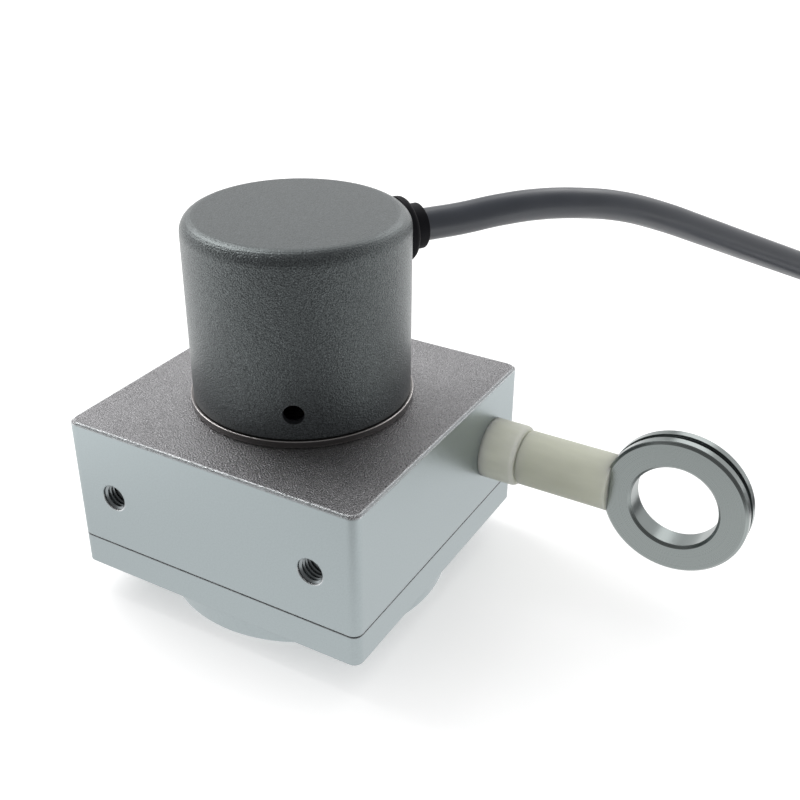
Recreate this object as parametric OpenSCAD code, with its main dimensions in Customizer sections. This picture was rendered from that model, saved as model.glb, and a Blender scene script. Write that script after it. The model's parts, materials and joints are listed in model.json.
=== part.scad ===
// Draw wire encoder: a spring-returned wire drum in a square housing that turns a small
// rotary encoder. The wire runs out sideways through a collar and ends in a pull ring.
// Millimetres, +Z up along the drum axis, origin at the centre of the barrel's flat bottom.

/* [Housing] */
// Side of the square housing and of its cover
housing_side = 60; // [58:0.5:72]
// Height of the housing above the cover
housing_height = 24; // [23:0.5:32]
// Radius of the upright corners
corner_radius = 1.75; // [1:0.25:6]
// Chamfer round the housing's top face
top_chamfer = 0.4; // [0.2:0.05:1]
// Small chamfer on both sides of the joint between housing and cover
seam_chamfer = 0.15; // [0.1:0.05:0.4]
// Diameter of the chamber that the drum turns in
drum_chamber_diameter = 49; // [47:0.5:52]
// Thickness of the housing's roof above the drum chamber
roof_thickness = 6; // [6:0.25:9]

/* [Cover and spring barrel] */
// Thickness of the square cover plate
cover_thickness = 6.4; // [5:0.1:8]
// Diameter of the round barrel under the cover
barrel_diameter = 54.5; // [54:0.5:57]
// How far the barrel stands below the cover plate
barrel_height = 6.5; // [5.5:0.25:10]
// Thickness of the barrel's floor
barrel_floor = 2; // [1.5:0.25:3]
// Radius round the barrel's bottom edge
barrel_edge = 0.6; // [0.3:0.1:1.2]
// Diameter of the spring chamber in the barrel
spring_chamber_diameter = 46; // [42:0.5:48]

/* [Cover screws] */
// Distance from the housing's sides to the cover screws
cover_screw_inset = 5.5; // [5:0.25:6.5]
// Thread diameter of the cover screws
cover_screw_diameter = 3; // [2.5:0.5:4]
// Head diameter of the countersunk cover screws
cover_screw_head = 5.6; // [5:0.1:7]
// Length of the cover screws over the head
cover_screw_length = 12; // [10:0.5:13]

/* [Mounting holes] */
// Thread diameter of the two blind holes in the front face
mount_thread = 5; // [4:0.5:6]
// Distance between the two holes
mount_spacing = 42; // [38:0.5:44]
// Height of the holes above the cover plate
mount_height = 10.6; // [9.8:0.1:14]
// Depth of the holes
mount_depth = 8; // [6:0.5:8.5]

/* [Spring] */
// Thickness of the spring strip
spring_strip = 0.35; // [0.25:0.05:0.5]
// Turns that lie packed against the barrel wall
spring_packed_turns = 8; // [6:1:10]
// Free turns that lead in to the arbor
spring_free_turns = 2; // [1:1:3]
// Diameter of the arbor on the shaft
arbor_diameter = 14; // [12:0.5:16]
// Clearance above and below the spring and the arbor
spring_clearance = 0.5; // [0.3:0.1:1]
// Thickness of the plate that closes the spring chamber
spring_plate_thickness = 3; // [2.5:0.25:3.5]
// Diameter of that plate
spring_plate_diameter = 51; // [50:0.5:52]

/* [Shaft and bearings] */
// Shaft diameter in the drum and its bearings
shaft_diameter = 8; // [7:0.5:9]
// Shaft diameter in the encoder
encoder_shaft_diameter = 6; // [5:0.5:6]
// Outer diameter of both bearings
bearing_diameter = 16; // [15.5:0.5:19]
// Width of both bearings
bearing_width = 5; // [4:0.5:5]
// Wall thickness of the inner bearing rings
inner_ring_wall = 1.3; // [1:0.1:1.5]
// Wall thickness of the outer bearing rings
outer_ring_wall = 1.2; // [1:0.1:1.3]
// Lip that each bearing seats against
bearing_lip = 0.8; // [0.6:0.1:1]
// Wall of the boss round the lower bearing
bearing_boss_wall = 2.5; // [2:0.25:3]
// Width of the retaining ring over the upper bearing
clip_width = 0.8; // [0.6:0.1:1]

/* [Drum and wire] */
// Diameter of the steel wire
wire_diameter = 0.6; // [0.5:0.05:0.8]
// Core diameter that the wire is wound on
drum_core_diameter = 37.6; // [34:0.2:38]
// How far the drum's flanges stand out past the core
drum_flange_height = 3.2; // [2.5:0.1:3.6]
// Thickness of the drum's flanges
drum_flange_thickness = 1.6; // [1.2:0.1:2]
// Radial thickness of the drum's rim
drum_rim = 3; // [2:0.25:4]
// Thickness of the drum's web
drum_web = 3; // [2:0.25:4]
// Diameter of the drum's hub
drum_hub_diameter = 15; // [13:0.5:18]
// Diameter of the lightening holes in the web
web_hole_diameter = 6; // [4:0.5:7]
// Number of lightening holes
web_holes = 6; // [4:1:8]
// Length of wire that can be pulled out
pull_range = 1000; // [600:50:1200]
// Wraps that stay on the drum when the wire is out
spare_wraps = 2; // [1:1:3]
// Pitch of the wraps
wrap_pitch = 0.7; // [0.65:0.05:0.9]

/* [Wire outlet] */
// Height of the housing's top face above the wire
wire_height = 12.8; // [11:0.1:13.5]
// Diameter of the collar on the housing
collar_diameter = 11.7; // [10.5:0.1:13]
// How far the collar stands out from the housing
collar_length = 7; // [4:0.25:10]
// Radius round the collar's outer edge
collar_edge = 0.9; // [0.4:0.1:1.5]
// Diameter of the collar's spigot in the housing
spigot_diameter = 8; // [7:0.25:9]
// Length of the spigot in the housing
spigot_length = 6; // [4:0.25:7]
// Diameter of the polished guide bush in the spigot
bush_diameter = 4.4; // [4:0.1:5]
// Length of the guide bush
bush_length = 5; // [3:0.25:6]
// Bore of the guide bush
bush_bore = 1.6; // [1.4:0.1:2]
// Diameter of the felt wiper in the collar's mouth
wiper_diameter = 6; // [5:0.25:7]
// Thickness of the felt wiper
wiper_length = 2.4; // [1.5:0.1:3]

/* [Bumper and pull ring] */
// Diameter of the bumper sleeve
bumper_diameter = 10.5; // [9.5:0.1:12]
// Length of the bumper sleeve
bumper_length = 17.5; // [17.2:0.1:24]
// Outer diameter of the pull ring
ring_diameter = 26.3; // [22:0.1:32]
// Diameter of the ring's eye
eye_diameter = 15.8; // [12:0.1:17]
// Width of the ring
ring_width = 5; // [4:0.1:7]
// Chamfer round both faces of the ring
ring_chamfer = 0.5; // [0.3:0.05:0.8]
// Chamfer round both ends of the eye
eye_chamfer = 0.5; // [0.2:0.05:0.8]
// Width of the groove round the ring
groove_width = 1.3; // [1:0.1:1.8]
// Depth of the groove round the ring
groove_depth = 1.3; // [1:0.1:1.8]
// Depth that the ring sits in the bumper's saddle
saddle_depth = 1.2; // [0.5:0.1:1.5]

/* [Wire end swivel] */
// Diameter of the crimped ferrule and of its head
ferrule_diameter = 3.2; // [2.8:0.1:3.4]
// Length of the crimped part of the ferrule
ferrule_length = 5; // [4:0.25:6]
// Diameter of the neck between ferrule and head
neck_diameter = 1.8; // [1.6:0.1:2]
// Length of that neck
neck_length = 1.8; // [1.5:0.1:2.4]
// Length of the swivel head
head_length = 1.2; // [1:0.1:1.6]
// Wall thickness of the swivel barrel
swivel_wall = 0.8; // [0.6:0.1:1]
// End wall of the bumper round the wire
bumper_end_wall = 3; // [2:0.25:4]

/* [Encoder] */
// Diameter of the encoder's can
can_diameter = 39.8; // [39:0.1:44]
// Height of the encoder above the housing
encoder_height = 35; // [33:0.25:42]
// Wall thickness of the can
can_wall = 1.6; // [1.2:0.1:1.8]
// Thickness of the can's top
can_top = 2; // [1.5:0.1:3]
// Radius round the can's top edge
can_edge = 2.6; // [1.5:0.1:4]
// Height of the base flange that the can sits on
flange_height = 1.45; // [1.3:0.05:3]
// How far the base flange stands out past the can
flange_ledge = 0.5; // [0.2:0.05:1]
// Height of the undercut below the flange's edge
undercut_height = 0.25; // [0.15:0.05:0.5]
// Depth of that undercut
undercut_depth = 0.4; // [0.2:0.05:0.8]
// Height of the shadow groove between flange and can
groove_gap = 0.2; // [0.2:0.05:0.6]
// Depth of that groove
groove_recess = 0.3; // [0.2:0.05:0.6]
// Height of the spigot that centres the can
can_spigot_height = 2; // [1.5:0.1:2.2]
// Wall thickness of that spigot
can_spigot_wall = 1.8; // [1.2:0.1:2]
// Diameter of the access hole to the hub's set screw
access_diameter = 3.7; // [3:0.1:4]
// Height of the access hole above the housing
access_height = 6.4; // [6.2:0.1:7]
// Direction of the access hole, from +X
access_angle = -60; // [-80:1:-40]

/* [Encoder inner parts] */
// Thread diameter of the small screws in the encoder
small_screw_diameter = 2.5; // [2:0.1:3]
// Head diameter of the small screws
small_screw_head = 4.5; // [4:0.1:5]
// Head height of the small screws
small_screw_head_height = 1.6; // [1.2:0.1:2]
// Length of the base screws in the housing's roof
base_screw_grip = 4; // [3:0.25:4.5]
// Radius of the circle of base screws
base_screw_circle = 12; // [11:0.25:12.5]
// Radius of the circle of board posts
post_circle = 14; // [13.5:0.25:14.2]
// Diameter of the board posts
post_diameter = 3.6; // [3.2:0.1:4]
// Height of the board above the base
board_height = 15.3; // [15:0.1:18]
// Thickness of the circuit board
board_thickness = 1.6; // [1:0.1:2]
// Diameter of the circuit board
board_diameter = 34; // [33:0.5:35]
// Diameter of the hub that carries the code disc
hub_diameter = 12; // [11:0.25:13]
// Length of that hub
hub_length = 7; // [6:0.25:7.5]
// Gap between the encoder's base and the hub
hub_gap = 1.2; // [1:0.1:1.6]
// Diameter of the code disc
disc_diameter = 22; // [20:0.5:23]
// Thickness of the code disc
disc_thickness = 1; // [0.6:0.1:1.5]
// Diameter of the washer that holds the disc
disc_washer_diameter = 10; // [8:0.5:11]
// Thickness of that washer
disc_washer = 1; // [0.8:0.1:1.2]
// Air gap between the code disc and the reading head
read_gap = 1; // [0.5:0.1:1.2]

/* [Cable outlet] */
// Diameter of the cable
cable_diameter = 6; // [5:0.25:6.5]
// Direction of the cable outlet, from +X
outlet_angle = 60; // [50:1:70]
// Distance from the can's top to the cable outlet
outlet_drop = 7; // [6.8:0.1:8]
// Diameter of the grommet's flange
grommet_flange_diameter = 12; // [11:0.25:13]
// How far the flange stands out from the can
grommet_flange = 1.7; // [1.2:0.1:2.5]
// Radius round the flange's edge
grommet_edge = 0.8; // [0.4:0.1:1]
// Diameter of the grommet's boss
grommet_boss_diameter = 8.4; // [7.8:0.1:9.5]
// How far the boss stands out past the flange
grommet_boss = 2.8; // [2:0.1:4]
// Width of the flange inside the can
grommet_inner_lip = 0.8; // [0.6:0.1:0.8]

/* [Flying leads] */
// Diameter of each insulated lead
lead_diameter = 1; // [0.8:0.1:1.1]
// Length of the sleeve at the cable's end
sleeve_length = 12; // [8:0.5:16]
// Wall thickness of that sleeve
sleeve_wall = 0.5; // [0.3:0.05:0.8]

/* [Hidden] */
// What to draw: every sub-part, or one of them by name

// clearances
fit = 0.05;
running = 0.3;
joint = 0.01;
cut = 1;

// facets of small, middle and large round shapes
fn_small = 24;
fn_mid = 40;
fn_large = 72;

// heights along the drum axis
z_cover = barrel_height;
z_housing = z_cover + cover_thickness;
z_top = z_housing + housing_height;
z_roof = z_top - roof_thickness;
z_plate = z_housing - spring_plate_thickness;
z_lower_bearing = z_plate + bearing_lip;
z_boss_top = z_lower_bearing + bearing_width;
z_wire = z_top - wire_height;
z_mount = z_housing + mount_height;
z_base_floor = z_top + flange_height;
z_can_top = z_top + encoder_height;
z_outlet = z_can_top - outlet_drop;
z_hub = z_base_floor + hub_gap;
z_disc = z_hub + hub_length;
z_washer = z_disc + disc_thickness;
z_shaft_end = z_washer + disc_washer;
z_board = z_base_floor + board_height;

// housing
half_side = housing_side / 2;
screw_place = half_side - cover_screw_inset;
screw_cone = (cover_screw_head - cover_screw_diameter) / 2;
pilot_spare = 1;

// bearings and shaft
inner_ring_radius = shaft_diameter / 2 + inner_ring_wall;
shield_radius = inner_ring_radius + running;
shaft_hole_radius = inner_ring_radius + running;
shield_inset = 0.4;
clip_radius = shaft_diameter / 2 + 1;
clip_land = 0.2;

// drum and wire
core_radius = drum_core_diameter / 2;
wrap_radius = core_radius + wire_diameter / 2;
drum_radius = core_radius + drum_flange_height;
wraps = ceil(pull_range / (2 * PI * wrap_radius)) + spare_wraps;
winding_width = wraps * wrap_pitch;
winding_play = 0.4;
drum_low = z_wire - winding_width / 2 - winding_play - drum_flange_thickness;
drum_high = z_wire + winding_width / 2 + winding_play + drum_flange_thickness;
web_circle = (core_radius - drum_rim + drum_hub_diameter / 2) / 2;

// spring
spring_outer = spring_chamber_diameter / 2 - fit;
spring_inner = arbor_diameter / 2 + running;
packed_pitch = spring_strip * 1.6;
packed_inner = spring_outer - packed_pitch * spring_packed_turns;
spring_steps = 20;

// wire outlet and pull ring, along the wire
x_collar = half_side + collar_length;
x_bumper = x_collar + running;
x_saddle_rim = x_bumper + bumper_length;
ring_radius = ring_diameter / 2;
ring_seat_radius = ring_radius + joint;
bumper_radius = bumper_diameter / 2;
x_ring = x_saddle_rim - saddle_depth + ring_seat_radius;
groove_radius = ring_radius - groove_depth;
loop_radius = groove_radius + wire_diameter / 2 + joint;
x_ferrule = x_bumper + bumper_end_wall + running;
x_neck = x_ferrule + ferrule_length;
x_head = x_neck + neck_length;
swivel_lip = neck_length - 2 * running;
x_swivel = x_neck + running;
swivel_bore = ferrule_diameter / 2 + running;
swivel_radius = swivel_bore + swivel_wall;
x_swivel_end = x_head + head_length + running;
x_loop = x_ring - loop_radius;
wire_start = wrap_radius * 0.45;

// encoder
can_radius = can_diameter / 2;
can_bore = can_radius - can_wall;
flange_radius = can_radius + flange_ledge;
spigot_outer = can_bore - fit;
spigot_inner = spigot_outer - can_spigot_wall;
base_bore = shaft_hole_radius + running;
z_set_screw = z_top + access_height;
set_screw_diameter = 3;
head_box = [5, 8, z_board - z_washer - read_gap];
head_place = disc_diameter / 2 - head_box[0] / 2;
connector_box = [5, 10, 3.4];
connector_place = 8;
can_arc_steps = 8;

// cable outlet, measured outwards from the can's axis
grommet_face = can_radius + grommet_flange;
grommet_end = grommet_face + grommet_boss;
cable_radius = cable_diameter / 2;
clamp_length = 3;
clamp_wall = 1.2;
cable_start = can_bore - grommet_inner_lip - clamp_length - 1;

// the cable's route outside: out of the grommet, down to the floor and on to the coil
cable_route = [
    [17, 28.2, 64.9], [22, 35.2, 65.4], [27, 42.6, 65.2], [32.4, 50.2, 64.1],
    [37.8, 58.2, 62], [43.6, 66.7, 58.4], [50, 76, 53.6], [56.6, 85.4, 48.6],
    [63.2, 94.4, 43.8], [68.5, 101.5, 40], [75, 110, 35.5], [83, 118.8, 31.1],
    [93, 125.8, 27], [104, 130, 23.6], [116, 131.3, 20.6], [127.5, 129.1, 17.6],
    [138, 123.4, 14.8], [146, 114.9, 12.4], [150.8, 104.4, 10.3], [152, 93, 9],
];
coil_centre = [116, 95];
coil_outer_turn = 36;
coil_inner_turn = 24;
coil_height = 2 * cable_diameter;
tail_route = [[152, 95, 3], [152, 85, 3.3], [152, 73, 3.7], [151, 61, 3.7]];
// the leads' spread in degrees, and each lead's steps: along, spread and down
lead_fan = [-10, -5, 0, 5, 10];
lead_steps = [[0.1, 0, 0], [2, 0, 0], [9, 0, 0.8], [18, 5, 2.2], [30, 14, 3.1]];

function polar(radius, angle, z) = [radius * cos(angle), radius * sin(angle), z];
function unit(v) = v / norm(v);
function arc(centre, radius, from, to, steps) =
    [for (i = [0:steps]) centre + radius * [cos(from + (to - from) * i / steps),
                                            sin(from + (to - from) * i / steps)]];

// points of a smooth curve through a route, step by step between each pair
function spline(p, i, t) =
    let (a = p[max(i - 1, 0)], b = p[i], c = p[i + 1], d = p[min(i + 2, len(p) - 1)])
    0.5 * (2 * b + (c - a) * t + (2 * a - 5 * b + 4 * c - d) * t * t
        + (3 * b - a - 3 * c + d) * t * t * t);
function smooth(p, steps) =
    concat([for (i = [0:len(p) - 2]) for (s = [0:steps - 1]) spline(p, i, s / steps)],
           [p[len(p) - 1]]);

// a round tube along a route, as one polyhedron
module tube_along(route, radius, sides) {
    count = len(route);
    rings = [for (i = [0:count - 1])
        let (ahead = unit(route[min(i + 1, count - 1)] - route[max(i - 1, 0)]),
             side = unit(cross(ahead, [0, 0, 1])),
             up = cross(side, ahead))
        for (k = [0:sides - 1])
            route[i] + radius * (cos(360 * k / sides) * side + sin(360 * k / sides) * up)];
    walls = [for (i = [0:count - 2]) for (k = [0:sides - 1])
        let (n = (k + 1) % sides)
        [i * sides + k, (i + 1) * sides + k, (i + 1) * sides + n, i * sides + n]];
    near_end = [for (k = [0:sides - 1]) k];
    far_end = [for (k = [sides - 1:-1:0]) (count - 1) * sides + k];
    polyhedron(rings, concat(walls, [near_end, far_end]));
}

module rounded_square(side, radius) {
    straight = side - 2 * radius;
    square([side, straight], center = true);
    square([straight, side], center = true);
    for (x = [-1, 1], y = [-1, 1])
        translate([x, y] * straight / 2)
            circle(radius, $fn = fn_small);
}

module rounded_block(side, radius, height, low_chamfer, high_chamfer) {
    hull() {
        translate([0, 0, low_chamfer])
            linear_extrude(height - low_chamfer - high_chamfer)
                rounded_square(side, radius);
        linear_extrude(height)
            rounded_square(side - 2 * max(low_chamfer, high_chamfer), radius);
        linear_extrude(height - high_chamfer)
            rounded_square(side - 2 * low_chamfer, radius - low_chamfer);
    }
}

module along_x(x, y, z) {
    translate([x, y, z])
        rotate([0, 90, 0])
            children();
}

module along_wire(x) {
    along_x(x, wrap_radius, z_wire)
        children();
}

module at_corners() {
    for (x = [-1, 1], y = [-1, 1])
        translate([x * screw_place, y * screw_place, 0])
            children();
}

module three_around(radius, start) {
    for (i = [0:2])
        rotate(start + 120 * i)
            translate([radius, 0, 0])
                children();
}

module at_outlet() {
    rotate(outlet_angle)
        along_x(0, 0, z_outlet)
            children();
}

module ring(inner, outer, height, facets) {
    difference() {
        cylinder(height, r = outer, $fn = facets);
        translate([0, 0, -cut])
            cylinder(height + 2 * cut, r = inner, $fn = facets);
    }
}

module main_housing() {
    color("#AFB7B9")
        difference() {
            translate([0, 0, z_housing])
                rounded_block(housing_side, corner_radius, housing_height,
                              seam_chamfer, top_chamfer);
            translate([0, 0, z_housing - cut])
                cylinder(z_roof - z_housing + cut, d = drum_chamber_diameter, $fn = fn_large);
            translate([0, 0, z_roof - cut])
                cylinder(bearing_width + cut, r = bearing_diameter / 2 + fit, $fn = fn_mid);
            translate([0, 0, z_roof])
                cylinder(roof_thickness + cut, r = shaft_hole_radius, $fn = fn_mid);
            at_corners()
                translate([0, 0, z_housing - cut])
                    cylinder(z_cover + cover_screw_length + pilot_spare - z_housing + cut,
                             d = cover_screw_diameter, $fn = fn_small);
            for (x = [-1, 1])
                translate([x * mount_spacing / 2, mount_depth - half_side, z_mount])
                    rotate([90, 0, 0])
                        cylinder(mount_depth + cut, d = mount_thread, $fn = fn_mid);
            along_wire(half_side - spigot_length)
                cylinder(spigot_length + cut, r = spigot_diameter / 2 + fit, $fn = fn_mid);
            along_wire(0)
                cylinder(half_side, d = bush_diameter, $fn = fn_small);
            three_around(base_screw_circle, outlet_angle)
                translate([0, 0, z_top - base_screw_grip - fit])
                    cylinder(base_screw_grip + cut, d = small_screw_diameter, $fn = fn_small);
        }
}

module bottom_cover() {
    barrel = concat([[0, 0]],
        arc([barrel_diameter / 2 - barrel_edge, barrel_edge], barrel_edge, -90, 0, 5),
        [[barrel_diameter / 2, z_cover + cut], [0, z_cover + cut]]);
    color("#AEB8BA")
        difference() {
            union() {
                rotate_extrude($fn = fn_large)
                    polygon(barrel);
                translate([0, 0, z_cover])
                    rounded_block(housing_side, corner_radius, cover_thickness,
                                  top_chamfer, seam_chamfer);
            }
            translate([0, 0, barrel_floor])
                cylinder(z_housing, d = spring_chamber_diameter, $fn = fn_large);
            translate([0, 0, z_plate])
                cylinder(z_housing, r = spring_plate_diameter / 2 + fit, $fn = fn_large);
            at_corners() {
                translate([0, 0, z_cover - cut])
                    cylinder(cover_thickness + 2 * cut, r = cover_screw_diameter / 2 + fit,
                             $fn = fn_small);
                translate([0, 0, z_cover - cut])
                    cylinder(screw_cone + cut, r1 = cover_screw_head / 2 + cut + fit,
                             r2 = cover_screw_diameter / 2 + fit, $fn = fn_small);
            }
        }
}

module cover_screws() {
    socket_width = cover_screw_diameter * 2 / 3;
    socket_depth = screw_cone + 0.4;
    color("#8F9496")
        at_corners()
            translate([0, 0, z_cover + joint])
                difference() {
                    union() {
                        cylinder(screw_cone, d1 = cover_screw_head, d2 = cover_screw_diameter,
                                 $fn = fn_small);
                        cylinder(cover_screw_length, d = cover_screw_diameter, $fn = fn_small);
                    }
                    translate([0, 0, -cut])
                        cylinder(socket_depth + cut, d = socket_width, $fn = 6);
                }
}

module spring_plate() {
    color("#9AA0A2")
        difference() {
            union() {
                translate([0, 0, z_plate])
                    cylinder(spring_plate_thickness, d = spring_plate_diameter, $fn = fn_large);
                translate([0, 0, z_plate])
                    cylinder(z_boss_top - z_plate, r = bearing_diameter / 2 + bearing_boss_wall,
                             $fn = fn_mid);
            }
            translate([0, 0, z_lower_bearing])
                cylinder(bearing_width + cut, r = bearing_diameter / 2 + fit, $fn = fn_mid);
            translate([0, 0, z_plate - cut])
                cylinder(bearing_width, r = shaft_hole_radius, $fn = fn_mid);
        }
}

// radius of the spring's middle line after a number of turns inwards from the wall
function spring_radius(turn) = turn < spring_packed_turns
    ? spring_outer - packed_pitch * turn
    : packed_inner - (packed_inner - spring_inner - spring_strip)
        * (turn - spring_packed_turns) / spring_free_turns;

module power_spring() {
    steps = (spring_packed_turns + spring_free_turns) * spring_steps;
    outside = [for (i = [0:steps]) let (r = spring_radius(i / spring_steps), a = 360 * i / spring_steps)
        [r * cos(a), r * sin(a)]];
    inside = [for (i = [steps:-1:0])
        let (r = spring_radius(i / spring_steps) - spring_strip, a = 360 * i / spring_steps)
        [r * cos(a), r * sin(a)]];
    color("#6E7479")
        translate([0, 0, barrel_floor + spring_clearance])
            linear_extrude(z_plate - barrel_floor - 2 * spring_clearance)
                polygon(concat(outside, inside));
}

// outer bearing ring with its two shields
module bearing_outer() {
    outer = bearing_diameter / 2;
    color("#A9AEB1")
        difference() {
            cylinder(bearing_width, r = outer, $fn = fn_mid);
            translate([0, 0, -cut])
                cylinder(bearing_width + 2 * cut, r = shield_radius, $fn = fn_mid);
            translate([0, 0, shield_inset])
                cylinder(bearing_width - 2 * shield_inset, r = outer - outer_ring_wall,
                         $fn = fn_mid);
        }
}

module bearing_inner() {
    color("#B4B9BC")
        ring(shaft_diameter / 2 + joint, inner_ring_radius, bearing_width, fn_mid);
}

module lower_bearing_outer() {
    translate([0, 0, z_lower_bearing])
        bearing_outer();
}

module upper_bearing_outer() {
    translate([0, 0, z_roof])
        bearing_outer();
}

module lower_bearing_inner() {
    translate([0, 0, z_lower_bearing])
        bearing_inner();
}

module upper_bearing_inner() {
    translate([0, 0, z_roof])
        bearing_inner();
}

module wire_collar() {
    radius = collar_diameter / 2;
    edge = collar_length - collar_edge;
    profile = concat([[bush_bore / 2, -spigot_length], [spigot_diameter / 2, -spigot_length],
                      [spigot_diameter / 2, 0], [radius, 0]],
        arc([radius - collar_edge, edge], collar_edge, 0, 90, 5),
        [[bush_bore / 2, collar_length]]);
    color("#A6A994")
        along_wire(half_side)
            difference() {
                rotate_extrude($fn = fn_mid)
                    polygon(profile);
                translate([0, 0, -spigot_length - cut])
                    cylinder(bush_length + cut, r = bush_diameter / 2 + fit, $fn = fn_small);
                translate([0, 0, collar_length - wiper_length])
                    cylinder(wiper_length + cut, r = wiper_diameter / 2 + fit, $fn = fn_small);
            }
}

module guide_bush() {
    mouth = 0.5;
    color("#E4E1D8")
        along_wire(half_side - spigot_length)
            difference() {
                cylinder(bush_length, d = bush_diameter, $fn = fn_small);
                translate([0, 0, -cut])
                    cylinder(bush_length + 2 * cut, d = bush_bore, $fn = fn_small);
                translate([0, 0, -joint])
                    cylinder(mouth, r1 = bush_bore / 2 + mouth, r2 = bush_bore / 2, $fn = fn_small);
            }
}

module wire_wiper() {
    color("#5C5A54")
        along_wire(x_collar - wiper_length)
            ring(wire_diameter / 2 + running, wiper_diameter / 2, wiper_length, fn_small);
}

module encoder_base() {
    color("#B3B9BB")
        difference() {
            union() {
                translate([0, 0, z_top])
                    cylinder(flange_height, r = flange_radius - undercut_depth, $fn = fn_large);
                translate([0, 0, z_top + undercut_height])
                    cylinder(flange_height - undercut_height, r = flange_radius, $fn = fn_large);
                translate([0, 0, z_base_floor])
                    cylinder(can_spigot_height, r = spigot_outer, $fn = fn_large);
            }
            translate([0, 0, z_base_floor])
                cylinder(can_spigot_height + cut, r = spigot_inner, $fn = fn_large);
            translate([0, 0, z_top - cut])
                cylinder(flange_height + 2 * cut, r = base_bore, $fn = fn_mid);
            three_around(base_screw_circle, outlet_angle)
                translate([0, 0, z_top - cut])
                    cylinder(flange_height + 2 * cut, r = small_screw_diameter / 2 + fit,
                             $fn = fn_small);
        }
}

module small_screw(grip) {
    socket = small_screw_head / 2;
    difference() {
        union() {
            cylinder(small_screw_head_height, d = small_screw_head, $fn = fn_small);
            translate([0, 0, -grip])
                cylinder(grip + joint, d = small_screw_diameter, $fn = fn_small);
        }
        translate([0, 0, small_screw_head_height / 2])
            cylinder(small_screw_head_height, d = socket, $fn = 6);
    }
}

module base_screws() {
    color("#8F9496")
        three_around(base_screw_circle, outlet_angle)
            translate([0, 0, z_base_floor])
                small_screw(flange_height + base_screw_grip);
}

module encoder_can() {
    top = encoder_height - flange_height;
    profile = concat([[can_radius - groove_recess, 0], [can_radius - groove_recess, groove_gap],
                      [can_radius, groove_gap]],
        arc([can_radius - can_edge, top - can_edge], can_edge, 0, 90, can_arc_steps),
        [[0, top], [0, top - can_top], [can_bore, top - can_top], [can_bore, 0]]);
    color("#7C8082")
        difference() {
            translate([0, 0, z_base_floor])
                rotate_extrude($fn = fn_large)
                    polygon(profile);
            rotate(access_angle)
                along_x(can_bore - cut, 0, z_set_screw)
                    cylinder(can_wall + 2 * cut, d = access_diameter, $fn = fn_small);
            at_outlet()
                translate([0, 0, can_bore - cut])
                    cylinder(can_wall + 2 * cut, r = grommet_boss_diameter / 2 + fit,
                             $fn = fn_mid);
        }
}

// rubber grommet: flange outside the can, neck through its wall, lip inside, boss round the cable
module cable_grommet() {
    flange = grommet_flange_diameter / 2;
    boss = grommet_boss_diameter / 2;
    bore = cable_radius + fit;
    saddle = can_radius - sqrt(can_radius * can_radius - flange * flange);
    color("#17171F")
        difference() {
            at_outlet()
                union() {
                    translate([0, 0, can_radius - saddle])
                        rotate_extrude($fn = fn_mid)
                            polygon(concat([[0, 0], [flange, 0]],
                                arc([flange - grommet_edge,
                                     saddle + grommet_flange - grommet_edge],
                                    grommet_edge, 0, 90, 4),
                                [[0, saddle + grommet_flange]]));
                    translate([0, 0, can_bore - grommet_inner_lip])
                        cylinder(grommet_end - can_bore + grommet_inner_lip, r = boss,
                                 $fn = fn_mid);
                }
            difference() {
                translate([0, 0, z_base_floor])
                    cylinder(encoder_height, r = can_radius, $fn = fn_large);
                at_outlet()
                    cylinder(can_radius + cut, r = boss, $fn = fn_mid);
            }
            at_outlet()
                cylinder(grommet_end + cut, r = bore, $fn = fn_mid);
        }
}

module cable_clamp() {
    color("#3A3A3E")
        at_outlet()
            translate([0, 0, can_bore - grommet_inner_lip - clamp_length])
                ring(cable_radius + fit, cable_radius + fit + clamp_wall, clamp_length, fn_small);
}

module board_posts() {
    color("#B08D57")
        three_around(post_circle, 0)
            translate([0, 0, z_base_floor])
                cylinder(board_height, d = post_diameter, $fn = 6);
}

module sensor_board() {
    color("#2E6B4A")
        difference() {
            translate([0, 0, z_board])
                cylinder(board_thickness, d = board_diameter, $fn = fn_mid);
            three_around(post_circle, 0)
                translate([0, 0, z_board - cut])
                    cylinder(board_thickness + 2 * cut, r = small_screw_diameter / 2 + fit,
                             $fn = fn_small);
        }
}

module board_screws() {
    color("#A5A9AB")
        three_around(post_circle, 0)
            translate([0, 0, z_board + board_thickness])
                small_screw(board_thickness - joint);
}

module read_head() {
    color("#26282B")
        translate([-head_place, 0, z_board - head_box[2] / 2])
            cube(head_box, center = true);
}

module board_connector() {
    color("#E9E6DC")
        rotate(outlet_angle + 180)
            translate([connector_place, 0, z_board + board_thickness + connector_box[2] / 2])
                cube(connector_box, center = true);
}

// the cable's four cores, from its end to the connector on the board
module inner_leads() {
    bunched = lead_diameter + 0.1;
    pitch = lead_diameter + 0.9;
    core = lead_diameter / 2;
    low = z_board + board_thickness + connector_box[2] / 2;
    face = connector_box[0] / 2 - connector_place;
    color("#B23A2E")
        rotate(outlet_angle)
            for (i = [-1.5:1.5])
                tube_along(smooth([
                    [cable_start - 2 * fit, i * bunched, z_outlet],
                    [cable_start - 2, i * bunched, z_outlet],
                    [cable_start - 5, i * pitch, z_outlet - 1],
                    [0, i * pitch, (z_outlet + low) / 2],
                    [face + 3, i * pitch, low + 0.8],
                    [face + 1.5, i * pitch, low],
                    [face + 2 * fit, i * pitch, low],
                ], 3), core, 6);
}

module drum_shaft() {
    start = barrel_floor + spring_clearance;
    step = z_base_floor - cut;
    color("#B9BDBF")
        union() {
            translate([0, 0, start])
                cylinder(step - start, d = shaft_diameter, $fn = fn_mid);
            translate([0, 0, step])
                cylinder(z_shaft_end - step, d = encoder_shaft_diameter, $fn = fn_mid);
        }
}

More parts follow.
